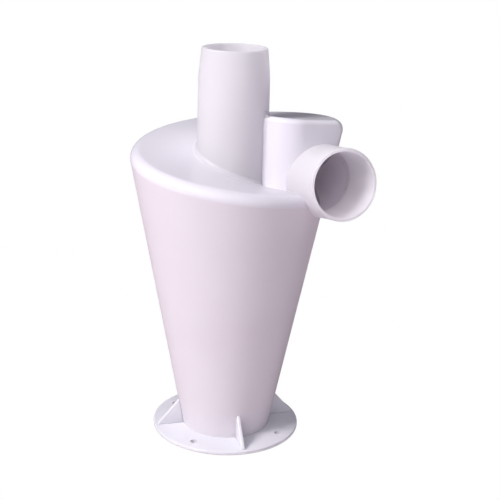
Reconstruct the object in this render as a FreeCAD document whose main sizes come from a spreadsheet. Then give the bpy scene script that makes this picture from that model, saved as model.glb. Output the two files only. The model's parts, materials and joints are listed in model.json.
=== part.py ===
import FreeCAD, Part
import math
import os
import Sketcher
from FreeCAD import Placement, Rotation, Vector

# Moulded cyclone separator: a bolt-down flange with four ribs, a cone that widens upward, a roof
# that falls through one turn, an inlet stub through the step of that helix, and an outlet
# pipe on the axis. The origin is at the centre of the flange's underside, +Z up. The inlet's mouth
# faces -Y and its axis lies on the +X side. Angles are seen from above, from +X towards +Y.

doc = FreeCAD.newDocument("cyclone_separator")

# Driving dimensions in mm and degrees: alias, value, note.
DRIVING = [
    ("wall", 2.5, "wall of every shell"),
    ("flangeRadius", 55.0, "outer radius of the bolt-down flange"),
    ("flangeThickness", 2.5, "thickness of the flange"),
    ("boltCircleRadius", 45.5, "radius of the circle of screw holes"),
    ("boltHoleRadius", 2.5, "radius of one screw hole"),
    ("baseTurn", -8.0, "turn of the ribs and holes about the axis"),
    ("footRadius", 33.0, "outer radius of the cone on the flange"),
    ("collarHeight", 24.0, "top of the thicker collar at the cone's foot"),
    ("collarWall", 3.0, "wall of that collar"),
    ("ribFootRadius", 53.0, "radius of the rib's outer end"),
    ("ribLip", 1.0, "height of the rib's outer end above the flange"),
    ("ribTop", 22.0, "height where the rib dies into the cone"),
    ("ribThickness", 2.6, "thickness of a rib"),
    ("shoulderRadius", 77.0, "outer radius of the cone at shoulderHeight"),
    ("shoulderHeight", 230.0, "height at which that radius holds"),
    ("coneJoint", 95.0, "height of the joint between the lower and upper cone"),
    ("barrelFoot", 160.0, "height where the upper cone ends and the barrel wall starts"),
    ("roofHeight", 234.5, "height of the helical roof on the +X side"),
    ("roofDrop", 43.4, "fall of the roof in one even turn"),
    ("roofSag", 10.3, "further fall in that turn, growing with the square of the angle"),
    ("rimRound", 6.6, "outer radius of the rounded rim between roof and wall"),
    ("stepAngle", -58.0, "direction of the radial step wall"),
    ("stepRound", 22.0, "rounding of the upright corner between step wall and front wall"),
    ("edgeRound", 3.4, "rounding of the raised part's top edge over those two walls"),
    ("frontWallPlace", 40.0, "distance of the front wall before the axis"),
    ("pipeRadius", 25.0, "outer radius of the outlet pipe"),
    ("riserDraft", 0.5, "growth of the pipe's radius down to its foot on the roof's low end"),
    ("hoseSeat", 19.0, "length of the straight outlet pipe that a hose is pushed over"),
    ("spigotLength", 20.2, "length of the tapered spigot above it"),
    ("spigotTipRadius", 23.1, "outer radius of the spigot's tip"),
    ("totalHeight", 285.0, "height of the spigot's tip"),
    ("spigotLip", 1.0, "rounding of the spigot's lip"),
    ("finderFoot", 150.0, "height of the vortex finder's lower end"),
    ("inletRadius", 25.0, "outer radius of the inlet stub"),
    ("inletSeat", 13.5, "straight length of the stub that a hose is pushed over"),
    ("rootFlare", 0.9, "growth of the stub's radius towards its root at the front wall"),
    ("inletOffset", 51.2, "distance of the inlet's axis beside the cyclone's axis"),
    ("mouthPlace", 74.0, "distance of the mouth's centre before the axis"),
    ("mouthHeight", 201.6, "height of the mouth's centre"),
    ("inletSlope", 8.6, "fall of the inlet's axis towards the body"),
    ("cheekLength", 52.0, "length of the tapered cheek behind the front wall"),
    ("cheekTipRadius", 15.0, "outer radius of the cheek's buried tip"),
]
sheet = doc.addObject("Spreadsheet::Sheet", "sizes")
for row, (alias, value, note) in enumerate(DRIVING, start=1):
    sheet.set("A%d" % row, note)
    sheet.set("B%d" % row, str(value))
    sheet.setAlias("B%d" % row, alias)
doc.recompute()


def size(alias):
    return float(sheet.get(alias))


# The cone's outer wall is one straight line in section: its radius at a height, and its lean.
CONE_RISE = "(sizes.shoulderHeight - sizes.flangeThickness)"
CONE_GROWTH = "((sizes.shoulderRadius - sizes.footRadius) / " + CONE_RISE + ")"


def coneExpression(height):
    return "(sizes.footRadius + " + CONE_GROWTH + " * (" + height + " - sizes.flangeThickness))"


wall = size("wall")
growth = ((size("shoulderRadius") - size("footRadius"))
          / (size("shoulderHeight") - size("flangeThickness")))
lean = math.atan(growth)
wallAcross = wall / math.cos(lean)


def coneRadius(height):
    return size("footRadius") + growth * (height - size("flangeThickness"))


def roofTop(angle):
    share = angle / 360.0
    return size("roofHeight") - size("roofDrop") * share - size("roofSag") * share ** 2


subparts = []


def finish(item, label):
    item.Label = label
    subparts.append(item)
    return item


def originPlane(body, role):
    return [f for f in body.Origin.OriginFeatures if f.Role == role][0]


def polygonSketch(body, role, name, corners):
    # A closed polygon on an origin plane; each corner is a pair of expressions of the sheet.
    sketch = body.newObject("Sketcher::SketchObject", name)
    sketch.AttachmentSupport = (originPlane(body, role), [""])
    sketch.MapMode = "FlatFace"
    places = [Vector(sketch.evalExpression(x), sketch.evalExpression(y), 0) for x, y in corners]
    count = len(places)
    for i in range(count):
        sketch.addGeometry(Part.LineSegment(places[i], places[(i + 1) % count]), False)
    for i in range(count):
        sketch.addConstraint(Sketcher.Constraint("Coincident", i, 2, (i + 1) % count, 1))
    for i in range(count):
        for kind, value, expression in (("DistanceX", places[i].x, corners[i][0]),
                                        ("DistanceY", places[i].y, corners[i][1])):
            index = sketch.addConstraint(Sketcher.Constraint(kind, -1, 1, i, 1, value))
            sketch.setExpression("Constraints[%d]" % index, expression)
    return sketch


def circleSketch(body, name, x, y, radii):
    # Circles about one centre on the XY plane, from expressions of the sheet.
    sketch = body.newObject("Sketcher::SketchObject", name)
    sketch.AttachmentSupport = (originPlane(body, "XY_Plane"), [""])
    sketch.MapMode = "FlatFace"
    centre = Vector(sketch.evalExpression(x), sketch.evalExpression(y), 0)
    for i, radius in enumerate(radii):
        value = sketch.evalExpression(radius)
        sketch.addGeometry(Part.Circle(centre, Vector(0, 0, 1), value), False)
        index = sketch.addConstraint(Sketcher.Constraint("Radius", i, value))
        sketch.setExpression("Constraints[%d]" % index, radius)
        for kind, along, expression in (("DistanceX", centre.x, x), ("DistanceY", centre.y, y)):
            index = sketch.addConstraint(Sketcher.Constraint(kind, -1, 1, i, 3, along))
            sketch.setExpression("Constraints[%d]" % index, expression)
    return sketch


def lathePiece(label, corners):
    # A ring turned about the axis from a polygon of radius and height.
    body = doc.addObject("PartDesign::Body", label + "_body")
    sketch = polygonSketch(body, "XZ_Plane", label + "_section", corners)
    turn = body.newObject("PartDesign::Revolution", label + "_turn")
    turn.Profile = sketch
    turn.ReferenceAxis = (sketch, ["V_Axis"])
    turn.Angle = 360
    return finish(body, label)


def conePiece(label, bottom, top, thickness):
    # One storey of the cone's shell, between two heights.
    across = "(" + thickness + " / cos(atan(" + CONE_GROWTH + ")))"
    return lathePiece(label, [
        (coneExpression(bottom) + " - " + across, bottom),
        (coneExpression(bottom), bottom),
        (coneExpression(top), top),
        (coneExpression(top) + " - " + across, top)])


# The flange, with the dust outlet in its middle and four screw holes between the ribs.
flange = doc.addObject("PartDesign::Body", "base_flange_body")
disc = flange.newObject("PartDesign::Pad", "flange_disc")
disc.Profile = circleSketch(flange, "flange_outline", "0", "0",
                            ["sizes.flangeRadius", "sizes.footRadius - sizes.collarWall"])
disc.setExpression("Length", "sizes.flangeThickness")
doc.recompute()
screwHole = flange.newObject("PartDesign::Pocket", "screw_hole")
screwHole.Profile = circleSketch(flange, "screw_hole_outline",
                                 "sizes.boltCircleRadius * cos((45 + sizes.baseTurn) * 1 deg)",
                                 "sizes.boltCircleRadius * sin((45 + sizes.baseTurn) * 1 deg)",
                                 ["sizes.boltHoleRadius"])
screwHole.Type = "ThroughAll"
screwHole.Reversed = True
doc.recompute()
holes = flange.newObject("PartDesign::PolarPattern", "screw_holes")
holes.Originals = [screwHole]
holes.Axis = (originPlane(flange, "Z_Axis"), [""])
holes.Angle = 360
holes.Occurrences = 4
flange.Tip = holes
finish(flange, "base_flange")

# Four upright ribs between the flange and the cone, at right angles to each other.
RIBS = [("rib_right", 0), ("rib_back", 90), ("rib_left", 180), ("rib_front", 270)]
for label, turn in RIBS:
    rib = doc.addObject("PartDesign::Body", label + "_body")
    plate = rib.newObject("PartDesign::Pad", label + "_plate")
    plate.Profile = polygonSketch(rib, "XZ_Plane", label + "_side", [
        (coneExpression("sizes.flangeThickness"), "sizes.flangeThickness"),
        ("sizes.ribFootRadius", "sizes.flangeThickness"),
        ("sizes.ribFootRadius", "sizes.flangeThickness + sizes.ribLip"),
        (coneExpression("sizes.ribTop"), "sizes.ribTop")])
    plate.setExpression("Length", "sizes.ribThickness")
    plate.SideType = "Symmetric"
    rib.Placement = Placement(Vector(), Rotation(Vector(0, 0, 1), turn))
    rib.setExpression("Placement.Rotation.Angle", "(%d + sizes.baseTurn) * 1 deg" % turn)
    finish(rib, label)

# The cone below the roof's reach, in three storeys.
conePiece("dust_outlet_collar", "sizes.flangeThickness", "sizes.collarHeight", "sizes.collarWall")
conePiece("cone_lower", "sizes.collarHeight", "sizes.coneJoint", "sizes.wall")
conePiece("cone_upper", "sizes.coneJoint", "sizes.barrelFoot", "sizes.wall")

# The pipe on the axis: the vortex finder inside, the outlet pipe, and its tapered spigot.
LOW_END = "((360 + sizes.stepAngle) / 360)"
PIPE_JOINT = ("(sizes.roofHeight - sizes.roofDrop * " + LOW_END
              + " - sizes.roofSag * " + LOW_END + "^2 - 4 * sizes.wall)")
SPIGOT_FOOT = "(sizes.totalHeight - sizes.spigotLength)"
SEAT_FOOT = "(sizes.totalHeight - sizes.spigotLength - sizes.hoseSeat)"
BORE = "sizes.pipeRadius - sizes.wall"
lathePiece("vortex_finder", [
    (BORE, "sizes.finderFoot"), ("sizes.pipeRadius", "sizes.finderFoot"),
    ("sizes.pipeRadius + sizes.riserDraft", PIPE_JOINT), (BORE, PIPE_JOINT)])
lathePiece("outlet_riser", [
    (BORE, PIPE_JOINT), ("sizes.pipeRadius + sizes.riserDraft", PIPE_JOINT),
    ("sizes.pipeRadius", SEAT_FOOT), (BORE, SEAT_FOOT)])
lathePiece("outlet_pipe", [
    (BORE, SEAT_FOOT), ("sizes.pipeRadius", SEAT_FOOT),
    ("sizes.pipeRadius", SPIGOT_FOOT), (BORE, SPIGOT_FOOT)])
lathePiece("outlet_spigot", [
    (BORE, SPIGOT_FOOT), ("sizes.pipeRadius", SPIGOT_FOOT),
    ("sizes.spigotTipRadius", "sizes.totalHeight - sizes.spigotLip"),
    ("sizes.spigotTipRadius - sizes.spigotLip", "sizes.totalHeight"),
    ("sizes.spigotTipRadius - sizes.wall", "sizes.totalHeight")])


# Everything under the helical roof follows sections in upright planes through the axis.
def radialPoint(angle, radius, height):
    turn = math.radians(angle)
    return Vector(radius * math.cos(turn), radius * math.sin(turn), height)


def rimCentre(angle):
    height = roofTop(angle) - size("rimRound")
    return coneRadius(height) - size("rimRound") / math.cos(lean), height


def onRim(angle, radius, direction):
    # A point of the rounded rim; its arc runs from straight up to square off the leaning wall.
    r, z = rimCentre(angle)
    return radialPoint(angle, r + radius * math.cos(direction), z + radius * math.sin(direction))


def rimArc(angle, radius):
    middle = (math.pi / 2 - lean) / 2
    return Part.Arc(onRim(angle, radius, math.pi / 2), onRim(angle, radius, middle),
                    onRim(angle, radius, -lean)).toShape()


def closedWire(edges):
    return Part.Wire(Part.__sortEdges__(edges))


def rimSection(angle):
    outer, inner = size("rimRound"), size("rimRound") - wall
    return closedWire([
        rimArc(angle, outer),
        Part.makeLine(onRim(angle, outer, -lean), onRim(angle, inner, -lean)),
        rimArc(angle, inner),
        Part.makeLine(onRim(angle, inner, math.pi / 2), onRim(angle, outer, math.pi / 2))])


def roofSection(angle):
    core, rim, top = size("pipeRadius") - wall / 2, rimCentre(angle)[0], roofTop(angle)
    return Part.makePolygon([
        radialPoint(angle, core, top - wall), radialPoint(angle, rim, top - wall),
        radialPoint(angle, rim, top), radialPoint(angle, core, top),
        radialPoint(angle, core, top - wall)])


def barrelSection(angle):
    foot = size("barrelFoot")
    return Part.makePolygon([
        radialPoint(angle, coneRadius(foot) - wallAcross, foot),
        radialPoint(angle, coneRadius(foot), foot),
        onRim(angle, size("rimRound"), -lean), onRim(angle, size("rimRound") - wall, -lean),
        radialPoint(angle, coneRadius(foot) - wallAcross, foot)])


def cavitySection(angle):
    # The air under the roof, from the axis to the inside of the wall.
    foot, inner = size("barrelFoot"), size("rimRound") - wall
    corners = [onRim(angle, inner, -lean), radialPoint(angle, coneRadius(foot) - wallAcross, foot),
               radialPoint(angle, 1, foot), radialPoint(angle, 1, roofTop(angle) - wall),
               onRim(angle, inner, math.pi / 2)]
    return closedWire(Part.makePolygon(corners).Edges + [rimArc(angle, inner)])


SECTION_STEP = 15


def helicalSolid(section, start, end):
    count = math.ceil((end - start) / SECTION_STEP)
    angles = [start + (end - start) * i / count for i in range(count + 1)]
    return Part.makeLoft([section(angle) for angle in angles], True, False)


# The helix starts at the step and ends one turn on; the front wall closes the step's right side.
stepStart = size("stepAngle")
stepEnd = stepStart + 360
front = size("frontWallPlace")
REACH = 200
PAST_STEP = 32
TOUCH = 0.01
leftHalf = Part.makeBox(REACH, 2 * REACH, 2 * REACH, Vector(-REACH, -REACH, -REACH / 2))
beforeFront = Part.makeBox(2 * REACH, REACH, 2 * REACH, Vector(-REACH, -REACH - front, -REACH / 2))


def hoodOutline(inset):
    # The plan of the raised part: along the step wall, round the corner, along the front wall.
    turn = math.radians(stepStart)
    along = Vector(math.cos(turn), math.sin(turn), 0)
    start = Vector(-along.y, along.x, 0) * inset
    frontLine = -front + inset
    corner = start + along * ((frontLine - start.y) / along.y)
    radius = size("stepRound") - inset
    tangent = radius * math.tan(-turn / 2)
    first = corner - along * tangent
    last = corner + Vector(tangent, 0, 0)
    centre = last + Vector(0, radius, 0)
    middle = centre + (corner - centre).normalize() * radius
    return [Part.makeLine(start, first), Part.Arc(first, middle, last).toShape(),
            Part.makeLine(last, Vector(REACH, frontLine, 0))]


def hoodPrism(inset):
    edges = hoodOutline(inset)
    start, end = edges[0].Vertexes[0].Point, edges[-1].Vertexes[-1].Point
    corners = [end, Vector(REACH, REACH, 0), Vector(start.x, REACH, 0), start]
    face = Part.Face(closedWire(edges + Part.makePolygon(corners).Edges))
    return face.extrude(Vector(0, 0, 2 * REACH))


def raisedSection(angle, inset):
    # All that lies under the roof, from inside the pipe to the wall, drawn in by the inset.
    foot, radius = size("barrelFoot"), size("rimRound") - inset
    across, core = inset / math.cos(lean), size("pipeRadius") - 2 * wall
    corners = [onRim(angle, radius, -lean), radialPoint(angle, coneRadius(foot) - across, foot),
               radialPoint(angle, core, foot), radialPoint(angle, core, roofTop(angle) - inset),
               onRim(angle, radius, math.pi / 2)]
    return closedWire(Part.makePolygon(corners).Edges + [rimArc(angle, radius)])


def raisedSolid(inset):
    # The raised part as one solid, with its top edge rounded over the step and the front wall.
    body = helicalSolid(lambda angle: raisedSection(angle, inset), stepStart - 1, stepStart + 92)
    body = body.common(hoodPrism(inset)).removeSplitter()
    outline = Part.Wire(hoodOutline(inset))
    edges = []
    for edge in body.Edges:
        middle = edge.valueAt((edge.FirstParameter + edge.LastParameter) / 2)
        angle = math.degrees(math.atan2(middle.y, middle.x))
        onTop = abs(middle.z - roofTop(angle) + inset) < TOUCH
        plan = Part.Vertex(middle.x, middle.y, 0)
        if onTop and outline.distToShape(plan)[0] < TOUCH:
            edges.append(edge)
    return body.makeFillet(size("edgeRound") - inset, edges)


# The outside of the pipe's drafted foot, which the roof and the step wall meet.
riserFoot = roofTop(stepEnd) - 4 * wall
seatFoot = size("totalHeight") - size("spigotLength") - size("hoseSeat")
riser = Part.makeCone(size("pipeRadius") + size("riserDraft"), size("pipeRadius"), seatFoot - riserFoot,
                      Vector(0, 0, riserFoot))

# The inlet's own axis, falling towards the body.
slope = math.radians(size("inletSlope"))
inward = Vector(0, math.cos(slope), -math.sin(slope))
mouth = Vector(size("inletOffset"), -size("mouthPlace"), size("mouthHeight"))
stubLength = (size("mouthPlace") - front) / math.cos(slope)
stubReach = size("inletRadius") * math.tan(slope) + 1


def inletCylinder(radius, start, end):
    return Part.makeCylinder(radius, end - start, mouth + inward * start, inward)


def cheekSolid(inset):
    # Behind the front wall the stub runs on and tapers until it is buried in the barrel.
    start = mouth + inward * (stubLength + stubReach)
    taper = Part.makeCone(size("inletRadius") - inset, size("cheekTipRadius") - inset,
                          size("cheekLength"), start, inward)
    straight = inletCylinder(size("inletRadius") - inset, stubLength - stubReach,
                             stubLength + stubReach)
    return straight.fuse(taper)


def codePiece(label, shape):
    # A piece whose helical or slanted form is set from the sheet's values.
    solids = shape.Solids
    piece = doc.addObject("Part::Feature", label + "_form")
    piece.Shape = solids[0] if len(solids) == 1 else Part.makeCompound(solids)
    return finish(piece, label)


bore = inletCylinder(size("inletRadius") - wall, -1, stubLength + stubReach)
rootRadius = size("inletRadius") + size("rootFlare")
root = Part.makeCone(size("inletRadius"), rootRadius, stubLength - size("inletSeat"),
                     mouth + inward * size("inletSeat"), inward)
root = root.fuse(inletCylinder(rootRadius, stubLength, stubLength + stubReach))
stub = inletCylinder(size("inletRadius"), 0, size("inletSeat"))
tube = stub.fuse(root)
airway = bore.fuse(cheekSolid(wall))
hood = hoodPrism(0)
coneSolid = Part.makeCone(coneRadius(0), coneRadius(REACH + 50), REACH + 50)
codePiece("inlet_stub", stub.cut(bore))
codePiece("inlet_root", root.cut(bore).common(beforeFront))
codePiece("inlet_cheek", cheekSolid(0).cut(airway).cut(coneSolid).cut(beforeFront))

# The raised part's walls. Above the inlet's axis they take in the rounded top edge, and below it
# they stand inside the barrel down to the roof's low end.
axisHeight = size("mouthHeight") - (size("mouthPlace") - front) * math.tan(slope)
aboveAxis = Part.makeBox(REACH, 2 * REACH, REACH, Vector(0, -REACH, axisHeight))
edgeBand = hood.cut(hoodPrism(size("edgeRound"))).common(aboveAxis)
upper = raisedSolid(0).cut(raisedSolid(wall)).common(edgeBand)
airUnderRoof = helicalSolid(cavitySection, stepStart, stepStart + 90)
stepFoot = roofTop(stepEnd + PAST_STEP) - wall
aboveFoot = Part.makeBox(REACH, REACH, axisHeight - stepFoot, Vector(0, -REACH / 2, stepFoot))
lower = hood.cut(hoodPrism(wall)).common(airUnderRoof).common(aboveFoot)
uprights = upper.fuse(lower).cut(riser).cut(airway).removeSplitter()
cornerEnd = (front / math.tan(-math.radians(stepStart))
             + size("stepRound") * math.tan(-math.radians(stepStart) / 2))
rightOfCorner = Part.makeBox(REACH, 2 * REACH, 2 * REACH, Vector(cornerEnd, -REACH, 0))
codePiece("step_wall", uprights.cut(rightOfCorner))
codePiece("inlet_front_wall", uprights.common(rightOfCorner))

# The roof, its rounded rim and the barrel wall under it go round in five stretches.
STRETCHES = ["inlet", "right", "back", "left", "front"]
for i, place in enumerate(STRETCHES):
    start = stepStart + 360 * i / len(STRETCHES)
    end = stepStart + 360 * (i + 1) / len(STRETCHES)
    if place == "front":
        end = end + PAST_STEP
    roof = helicalSolid(roofSection, start, end).cut(riser)
    rim = helicalSolid(rimSection, start, end)
    barrel = helicalSolid(barrelSection, start, end)
    if place == "inlet":
        roof = roof.cut(beforeFront).common(hood).cut(edgeBand)
        rim = rim.cut(beforeFront).cut(edgeBand)
        barrel = barrel.cut(beforeFront).cut(edgeBand).cut(airway)
    if place == "front":
        roof = roof.cut(hood).cut(tube)
        rim = rim.common(beforeFront.fuse(leftHalf)).cut(tube)
        barrel = barrel.common(beforeFront.fuse(leftHalf)).cut(tube)
    codePiece("roof_" + place, roof)
    codePiece("shoulder_" + place, rim)
    codePiece("barrel_wall_" + place, barrel)

doc.recompute()
for item in doc.Objects:
    if "Invalid" in item.State or "Error" in item.State:
        raise RuntimeError(item.Name + " failed: " + str(item.State))
os.makedirs("parts", exist_ok=True)
for item in subparts:
    if item.Shape.isNull() or not item.Shape.isValid() or not item.Shape.Solids:
        raise RuntimeError(item.Label + " has no valid solid")
    item.Shape.exportStep("parts/" + item.Label + ".step")
    print(item.Label, len(item.Shape.Solids), round(item.Shape.Volume / 1000, 2), "cm3")
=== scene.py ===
import bpy
import json
import math
from mathutils import Matrix, Vector


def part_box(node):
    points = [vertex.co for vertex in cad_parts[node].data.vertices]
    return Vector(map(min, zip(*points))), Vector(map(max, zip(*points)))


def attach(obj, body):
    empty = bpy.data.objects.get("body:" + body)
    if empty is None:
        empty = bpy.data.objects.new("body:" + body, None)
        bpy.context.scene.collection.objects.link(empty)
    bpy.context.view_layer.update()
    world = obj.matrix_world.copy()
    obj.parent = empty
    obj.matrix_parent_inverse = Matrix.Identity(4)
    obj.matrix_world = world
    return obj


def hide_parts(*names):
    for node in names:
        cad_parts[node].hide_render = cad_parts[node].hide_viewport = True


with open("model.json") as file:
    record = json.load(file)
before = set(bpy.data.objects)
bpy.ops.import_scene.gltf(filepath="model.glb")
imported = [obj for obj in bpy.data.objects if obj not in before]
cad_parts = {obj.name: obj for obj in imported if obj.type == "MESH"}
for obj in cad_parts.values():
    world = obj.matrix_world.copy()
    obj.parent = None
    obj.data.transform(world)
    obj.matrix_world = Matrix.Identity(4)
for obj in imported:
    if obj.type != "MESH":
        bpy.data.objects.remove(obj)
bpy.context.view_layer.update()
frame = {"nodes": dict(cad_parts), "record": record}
nodes = frame["nodes"]
print("frame loaded:", len(nodes), "nodes")

mm = 0.001
smoothAngle = math.radians(30)     # sharper edges than this stay crisp
mergeDistance = 0.01 * mm


def linearColour(hexText):
    # sRGB hex to the linear values that shader sockets take
    parts = [int(hexText[i:i + 2], 16) / 255 for i in (0, 2, 4)]
    return tuple(p / 12.92 if p <= 0.04045 else ((p + 0.055) / 1.055) ** 2.4 for p in parts) + (1,)


def addNode(tree, kind, settings=None, links=None):
    # settings: input values or node properties; links: input -> another node's output
    node = tree.nodes.new(kind)
    for key, value in (settings or {}).items():
        if isinstance(key, int) or key in node.inputs:
            node.inputs[key].default_value = value
        else:
            setattr(node, key, value)
    for key, source in (links or {}).items():
        tree.links.new(source, node.inputs[key])
    return node


plastic = {
    # the two ends of the cloudy tint, and how much light the wall lets through. The whole piece is
    # one milky pink-white plastic; the tints differ between parts as painted light: the body's is
    # pinker and the hood's bluer as painted reflected light, the pipe's lighter and the flange's
    # darker as painted light and shade
    "body": ("F3EDF3", "F0E8EF", 0.2),
    "hood": ("F5F1F8", "F2EDF6", 0.2),
    "pipe": ("FDFBFD", "FAF8FB", 0.6),
    "flange": ("EFEDF3", "E9E6EE", 0.12),
    "ior": 1.49,              # polypropylene
    "roughness": (0.20, 0.30),
    "cloudSize": 45 * mm,     # flow clouds left by the melt
    "cloudDetail": 3.0,
    "skinGrain": 3.0 * mm,    # orange peel of the mould's skin, drawn coarser than real so it shows
    "skinDetail": 2.0,
    "skinDepth": 0.012 * mm,
    "skinStrength": 0.2,
}


def mouldedPlastic(name, kind):
    # Injection-moulded polypropylene: milky white with a cool pink cast, even, softly glossy,
    # with faint flow clouds and a slightly uneven skin that breaks up the reflections.
    # a kind's tints are lighter, darker or tinted copies of the one plastic: painted light
    tint, tintDeep, glowThrough = plastic[kind]
    low, high = plastic["roughness"]
    material = bpy.data.materials.new(name)
    material.use_nodes = True
    tree = material.node_tree
    tree.nodes.clear()
    place = addNode(tree, "ShaderNodeTexCoord").outputs["Object"]
    clouds = addNode(tree, "ShaderNodeTexNoise",
                     {"Scale": 1 / plastic["cloudSize"], "Detail": plastic["cloudDetail"]},
                     {"Vector": place})
    colour = addNode(tree, "ShaderNodeMix",
                     {"data_type": "RGBA", 6: linearColour(tint), 7: linearColour(tintDeep)},
                     {0: clouds.outputs["Fac"]})
    skin = addNode(tree, "ShaderNodeTexNoise",
                   {"Scale": 1 / plastic["skinGrain"], "Detail": plastic["skinDetail"]},
                   {"Vector": place})
    roughness = addNode(tree, "ShaderNodeMapRange", {"To Min": low, "To Max": high},
                        {"Value": clouds.outputs["Fac"]})
    bump = addNode(tree, "ShaderNodeBump",
                   {"Strength": plastic["skinStrength"], "Distance": plastic["skinDepth"]},
                   {"Height": skin.outputs["Fac"]})
    shader = addNode(tree, "ShaderNodeBsdfPrincipled", {"IOR": plastic["ior"]},
                     {"Base Color": colour.outputs[2], "Roughness": roughness.outputs[0],
                      "Normal": bump.outputs[0]})
    through = addNode(tree, "ShaderNodeBsdfTranslucent", None, {"Color": colour.outputs[2]})
    both = addNode(tree, "ShaderNodeMixShader", {0: glowThrough},
                   {1: shader.outputs[0], 2: through.outputs[0]})
    addNode(tree, "ShaderNodeOutputMaterial", None, {"Surface": both.outputs[0]})
    return material


bodyPlastic = mouldedPlastic("mouldedPolypropyleneBody", "body")
hoodPlastic = mouldedPlastic("mouldedPolypropyleneHood", "hood")
pipePlastic = mouldedPlastic("mouldedPolypropylenePipe", "pipe")
flangePlastic = mouldedPlastic("mouldedPolypropyleneFlange", "flange")


def giveMaterial(piece, material):
    if not piece.material_slots:
        piece.data.materials.append(material)
    for slot in piece.material_slots:
        slot.material = material


# each part gets its kind's copy of the plastic, whose tint carries painted light and shade
for name, node in nodes.items():
    if name.startswith(("outlet_", "inlet_stub", "inlet_root", "vortex")):
        giveMaterial(node, pipePlastic)
    elif name.startswith(("base_", "rib_")):
        giveMaterial(node, flangePlastic)
    elif name.startswith(("roof_", "shoulder_", "step_", "inlet_front")):
        giveMaterial(node, hoodPlastic)
    else:
        giveMaterial(node, bodyPlastic)
print("materials given")


def turnedPiece(name, section, segments):
    # The section is a closed loop of radius and height. The first ring is a circle; each next
    # ring is extruded from it and set to its radius.
    bpy.ops.object.select_all(action="DESELECT")
    radius, height = section[0]
    bpy.ops.mesh.primitive_circle_add(vertices=segments, radius=radius, fill_type="NOTHING")
    piece = bpy.context.object
    piece.name = name
    bpy.ops.object.mode_set(mode="EDIT")
    bpy.ops.mesh.select_all(action="SELECT")
    bpy.ops.transform.translate(value=(0, 0, height))
    for nextRadius, nextHeight in section[1:] + section[:1]:
        bpy.ops.mesh.extrude_region_move(
            TRANSFORM_OT_translate={"value": (0, 0, nextHeight - height)})
        share = nextRadius / radius
        bpy.ops.transform.resize(value=(share, share, 1), center_override=(0, 0, nextHeight))
        radius, height = nextRadius, nextHeight
    bpy.ops.mesh.select_all(action="SELECT")
    bpy.ops.mesh.remove_doubles(threshold=mergeDistance)
    bpy.ops.mesh.normals_make_consistent(inside=False)
    bpy.ops.object.mode_set(mode="OBJECT")
    bpy.ops.object.shade_smooth_by_angle(angle=smoothAngle)
    return piece


def lipRound(radius, top, lip, angles):
    # points of a lip rounded outwards, its outer radius and top given
    turns = [math.radians(angle) for angle in angles]
    return [(radius - lip + lip * math.cos(t), top - lip + lip * math.sin(t)) for t in turns]


lipAngles = (0, 22.5, 45, 67.5, 90)

outletPipe = {
    "foot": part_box("outlet_riser")[0].z,
    "top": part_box("outlet_spigot")[1].z,
    "footRadius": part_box("outlet_riser")[1].x,
    "radius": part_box("outlet_pipe")[1].x,
    "wall": 2.5 * mm,
    "taperLength": 24 * mm,
    "taperEase": 0.4,          # share of the taper over which it eases in
    "tipRadius": 23.1 * mm,
    "tipWall": 2.2 * mm,
    "lip": 1.0 * mm,
    "innerLip": (0.4 * mm, 0.1 * mm),
    "segments": 160,
}


def outletPipeSection():
    size = outletPipe
    lipFoot, taperFoot = size["top"] - size["lip"], size["top"] - size["taperLength"]
    bore, fall = size["radius"] - size["wall"], size["radius"] - size["tipRadius"]
    section = [(size["footRadius"], size["foot"]), (size["radius"], taperFoot)]
    ease = size["taperEase"]
    for step in (1, 2, 3, 4):     # a soft start, then a straight taper
        share = ease * step / 4
        section.append((size["radius"] - fall * share ** 2 / (ease * (2 - ease)),
                        taperFoot + share * (lipFoot - taperFoot)))
    section += lipRound(size["tipRadius"], size["top"], size["lip"], lipAngles)
    innerTip = size["tipRadius"] - size["tipWall"]
    across, down = size["innerLip"]
    section += [(innerTip + across, size["top"] - down), (innerTip, lipFoot),
                (bore, taperFoot), (bore, size["foot"])]
    return section


pipe = turnedPiece("outlet_pipe_moulding", outletPipeSection(), outletPipe["segments"])
giveMaterial(pipe, pipePlastic)
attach(pipe, "root")
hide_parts("outlet_riser", "outlet_pipe", "outlet_spigot")
print("outlet pipe made")

# The soft root where the pipe rises out of the roof. It is turned flat, and its points are then
# lifted to the roof, which no turning or extruding follows.
pipeRoot = {
    "roofHeight": 234.5 * mm,   # the roof's height towards +X, and how it falls in one turn
    "roofDrop": 43.4 * mm,
    "roofSag": 10.3 * mm,
    "stepAngle": -58.0,         # degrees where the fall starts
    "jumpInside": 1.0,          # degrees past that where the root jumps, inside the step's wall
    # radius and height over the roof, in mm: up the pipe, down the hollow sweep, then under it
    "sweep": [(24.6, 3.4), (25.3, 3.2), (25.5, 2.1), (26.0, 1.2), (26.8, 0.5), (27.9, 0.15),
              (28.8, -0.05), (28.8, -1.0), (24.6, -1.0)],
    "segments": 180,
}

pipeFoot = turnedPiece("outlet_pipe_root", [(r * mm, z * mm) for r, z in pipeRoot["sweep"]],
                       pipeRoot["segments"])
for vertex in pipeFoot.data.vertices:
    angle = math.degrees(math.atan2(vertex.co.y, vertex.co.x))
    if angle < pipeRoot["stepAngle"] + pipeRoot["jumpInside"]:
        angle += 360
    share = angle / 360
    vertex.co.z += (pipeRoot["roofHeight"] - pipeRoot["roofDrop"] * share
                    - pipeRoot["roofSag"] * share ** 2)
giveMaterial(pipeFoot, pipePlastic)
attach(pipeFoot, "root")
print("outlet pipe's root made")

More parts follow.
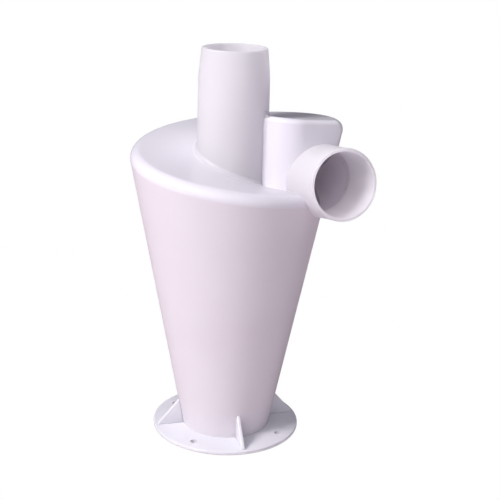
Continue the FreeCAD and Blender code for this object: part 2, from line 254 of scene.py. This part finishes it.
stubMount = [m for m in frame["record"]["mounts"] if m["name"] == "inlet_stub"][0]
stubAxis = Vector(stubMount["axis"])     # out of the mouth
stubSeat = stubMount["dims"]["length_mm"] * mm
inletTube = {
    "mouth": Vector(stubMount["pos_m"]) + stubAxis * stubSeat / 2,
    "radius": stubMount["dims"]["r_mm"] * mm,
    "wall": 2.5 * mm,
    "lip": 1.0 * mm,
    "innerLip": [(0.2 * mm, 0.3 * mm), (0.5 * mm, 0)],   # widening of the bore, depth
    "rootPlace": 34.4 * mm,    # where it meets the front wall
    "rootFlare": 0.9 * mm,
    "buried": 4.8 * mm,
    "segments": 160,
}


def inletTubeSection():
    # outside from the mouth to the root, then back through the bore; the mouth is at height 0
    size = inletTube
    section = lipRound(size["radius"], 0, size["lip"], lipAngles[::-1])
    for share in (0, 0.5, 1):
        place = stubSeat + share * (size["rootPlace"] - stubSeat)
        section.append((size["radius"] + size["rootFlare"] * share, -place))
    bore, end = size["radius"] - size["wall"], -size["rootPlace"] - size["buried"]
    section += [(section[-1][0], end), (bore, end), (bore, -size["lip"])]
    section += [(bore + across, -down) for across, down in size["innerLip"]]
    return section


tube = turnedPiece("inlet_tube_moulding", inletTubeSection(), inletTube["segments"])
bpy.ops.object.mode_set(mode="EDIT")
bpy.ops.mesh.select_all(action="SELECT")
bpy.ops.transform.rotate(value=-math.acos(stubAxis.z), orient_axis="X",
                         center_override=(0, 0, 0))
bpy.ops.transform.translate(value=inletTube["mouth"])
bpy.ops.object.mode_set(mode="OBJECT")
giveMaterial(tube, pipePlastic)
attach(tube, "root")
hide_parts("inlet_stub", "inlet_root")
print("inlet tube made")

# the flange and the ribs, with the small radii that a mould leaves on their edges
base = {
    "rimRound": 0.7 * mm,
    "rimDepth": 1 * mm,        # only edges this near to the flange's rim are rounded
    "ribRound": 0.6 * mm,
    "coneSide": 40 * mm,       # rib edges nearer to the axis lie in the cone and stay sharp
    "footDepth": 0.1 * mm,     # so do those this near to the flange
    "roundSteps": 3,
}
flatAngle = math.radians(1)    # triangles flatter than this become one face
edgeAngle = math.radians(40)   # an edge sharper than this can be rounded


def roundedCopy(node, name, radius, keepSharp):
    # a merged copy of the node with its edges rounded, but for those that keepSharp picks
    piece = bpy.data.objects.new(name, nodes[node].data.copy())
    bpy.context.collection.objects.link(piece)
    bpy.ops.object.select_all(action="DESELECT")
    bpy.context.view_layer.objects.active = piece
    piece.select_set(True)
    bpy.ops.object.mode_set(mode="EDIT")
    bpy.ops.mesh.select_all(action="SELECT")
    bpy.ops.mesh.remove_doubles(threshold=mergeDistance)
    bpy.ops.mesh.dissolve_limited(angle_limit=flatAngle)
    bpy.ops.mesh.select_mode(type="EDGE")
    bpy.ops.mesh.select_all(action="DESELECT")
    bpy.ops.mesh.edges_select_sharp(sharpness=edgeAngle)
    bpy.ops.object.mode_set(mode="OBJECT")
    for edge in piece.data.edges:
        ends = [piece.data.vertices[i].co for i in edge.vertices]
        if keepSharp(ends):
            edge.select = False
    bpy.ops.object.mode_set(mode="EDIT")
    bpy.ops.mesh.bevel(offset=radius, segments=base["roundSteps"], affect="EDGES")
    bpy.ops.object.mode_set(mode="OBJECT")
    bpy.ops.object.shade_smooth_by_angle(angle=smoothAngle)
    giveMaterial(piece, flangePlastic)
    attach(piece, "root")
    return piece


flangeRadius, _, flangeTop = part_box("base_flange")[1]


def insideRim(ends):
    return min(end.xy.length for end in ends) < flangeRadius - base["rimDepth"]


def againstWall(ends):
    return (max(end.z for end in ends) < flangeTop + base["footDepth"]
            or max(end.xy.length for end in ends) < base["coneSide"])


flange = roundedCopy("base_flange", "flange_moulding", base["rimRound"], insideRim)
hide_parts("base_flange")
for place in ("right", "back", "left", "front"):
    rib = roundedCopy("rib_" + place, "rib_moulding_" + place, base["ribRound"], againstWall)
    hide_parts("rib_" + place)
print("base made")

stage = {
    "floorSize": 12.0,
    "floorPlace": -0.2 * mm,
    "bouncePlace": -1 * mm,
    "domeRadius": 9.0,
    "backdropGlow": 1.0,
    "shadeRadius": 53.5 * mm,  # painted shadow: under the flange the floor's glow drops, so the screw holes show dark
    "shadeEdge": 1.5 * mm,
    "shadeGlow": 0.08,
    "bounceTint": "DFD2D8",
    "bounceRoughness": 0.9,
    "duskSky": "3C3C42",       # in the direction duskPlace: the back right, low
    "plainSky": "CFD0DA",      # in the other direction: the front left, high
    "duskPlace": (0.5, 0.6, -0.62),
    "duskFull": 0.8,           # nearly one is straight towards duskPlace
    "skyStrength": 0.7,
    "aim": Vector((0, 0, 0.16)),
    "keyHeading": 101.0,       # degrees from +Y towards -X that a light comes from
    "keyHeight": 40.0,
    "keyDistance": 2.5,
    "keySize": 0.8,
    "keyPower": 55.0,
    "fillHeading": 152.0,
    "fillHeight": 42.0,
    "fillDistance": 3.0,
    "fillSize": 2.4,
    "fillPower": 19.0,
}


def backdrop(name, surface, openBack):
    # White to the eye only: it gives and takes no light, but its glow drops to a painted shadow
    # under the flange. openBack makes it clear from behind.
    paint = bpy.data.materials.new(name + "Paint")
    paint.use_nodes = True
    tree = paint.node_tree
    tree.nodes.clear()
    glow = addNode(tree, "ShaderNodeEmission")
    reach = addNode(tree, "ShaderNodeVectorMath", {"operation": "LENGTH"},
                    {0: addNode(tree, "ShaderNodeTexCoord").outputs["Object"]})
    # painted shadow: the glow falls to shadeGlow within shadeRadius of the axis, under the flange
    light = addNode(tree, "ShaderNodeMapRange",
                    {"From Min": stage["shadeRadius"],
                     "From Max": stage["shadeRadius"] + stage["shadeEdge"],
                     "To Min": stage["shadeGlow"], "To Max": stage["backdropGlow"]},
                    {"Value": reach.outputs["Value"]})
    tree.links.new(light.outputs[0], glow.inputs["Strength"])
    seen = glow
    if openBack:
        behind = addNode(tree, "ShaderNodeNewGeometry").outputs["Backfacing"]
        clear = addNode(tree, "ShaderNodeBsdfTransparent")
        seen = addNode(tree, "ShaderNodeMixShader", None,
                       {0: behind, 1: glow.outputs[0], 2: clear.outputs[0]})
    addNode(tree, "ShaderNodeOutputMaterial", None, {"Surface": seen.outputs[0]})
    surface.name = name
    giveMaterial(surface, paint)
    surface.visible_diffuse = False
    surface.visible_glossy = False
    surface.visible_transmission = False
    surface.visible_shadow = False


bpy.ops.object.select_all(action="DESELECT")
bpy.ops.mesh.primitive_plane_add(size=stage["floorSize"],
                                 location=(0, 0, stage["floorPlace"]))
backdrop("floor", bpy.context.object, True)
bpy.ops.object.select_all(action="DESELECT")
bpy.ops.mesh.primitive_uv_sphere_add(radius=stage["domeRadius"])
backdrop("dome", bpy.context.object, False)

# a pale table top that the camera doesn't see throws light up on the piece
bpy.ops.object.select_all(action="DESELECT")
bpy.ops.mesh.primitive_plane_add(size=stage["floorSize"],
                                 location=(0, 0, stage["bouncePlace"]))
bounce = bpy.context.object
bounce.name = "bounceTable"
bounce.visible_camera = False
bouncePaint = bpy.data.materials.new("bounceTablePaint")
bouncePaint.use_nodes = True
bounceShader = bouncePaint.node_tree.nodes["Principled BSDF"]
bounceShader.inputs["Base Color"].default_value = linearColour(stage["bounceTint"])
bounceShader.inputs["Roughness"].default_value = stage["bounceRoughness"]
bounceShader.inputs["Specular IOR Level"].default_value = 0.0
giveMaterial(bounce, bouncePaint)

world = bpy.data.worlds.new("softStudio")
bpy.context.scene.world = world
world.use_nodes = True
sky = world.node_tree
direction = addNode(sky, "ShaderNodeTexCoord").outputs["Generated"]
towards = addNode(sky, "ShaderNodeVectorMath",
                  {"operation": "DOT_PRODUCT", 1: stage["duskPlace"]}, {0: direction})
duskShare = addNode(sky, "ShaderNodeMapRange", {"From Min": -1.0, "From Max": stage["duskFull"]},
                    {"Value": towards.outputs["Value"]})
tone = addNode(sky, "ShaderNodeMix", {"data_type": "RGBA", 6: linearColour(stage["plainSky"]),
                                      7: linearColour(stage["duskSky"])},
               {0: duskShare.outputs[0]})
background = sky.nodes["Background"]
sky.links.new(tone.outputs[2], background.inputs["Color"])
background.inputs["Strength"].default_value = stage["skyStrength"]


def softbox(name):
    heading, height = math.radians(stage[name + "Heading"]), math.radians(stage[name + "Height"])
    towardsLight = Vector((-math.sin(heading) * math.cos(height),
                           math.cos(heading) * math.cos(height), math.sin(height)))
    bpy.ops.object.light_add(type="AREA",
                             location=stage["aim"] + towardsLight * stage[name + "Distance"])
    lamp = bpy.context.object
    lamp.name = name + "Softbox"
    lamp.data.size = stage[name + "Size"]
    lamp.data.energy = stage[name + "Power"]
    lamp.rotation_euler = towardsLight.to_track_quat("Z", "Y").to_euler()


softbox("key")
softbox("fill")

view = {
    "place": (-292.2 * mm, -687.8 * mm, 380.9 * mm),
    "heading": 24.15,   # degrees from +Y towards +X
    "down": 17.97,
    "roll": 1.85,
    "lens": 77.35,
    "sensor": 36.0,
}
bpy.ops.object.camera_add(location=view["place"])
camera = bpy.context.object
turn = (Matrix.Rotation(-math.radians(view["heading"]), 4, "Z")
        @ Matrix.Rotation(math.radians(90 - view["down"]), 4, "X")
        @ Matrix.Rotation(math.radians(view["roll"]), 4, "Z"))
camera.rotation_euler = turn.to_euler()
camera.data.lens = view["lens"]
camera.data.sensor_width = view["sensor"]
bpy.context.scene.camera = camera
bpy.context.scene.view_settings.view_transform = "Standard"
print("stage set")
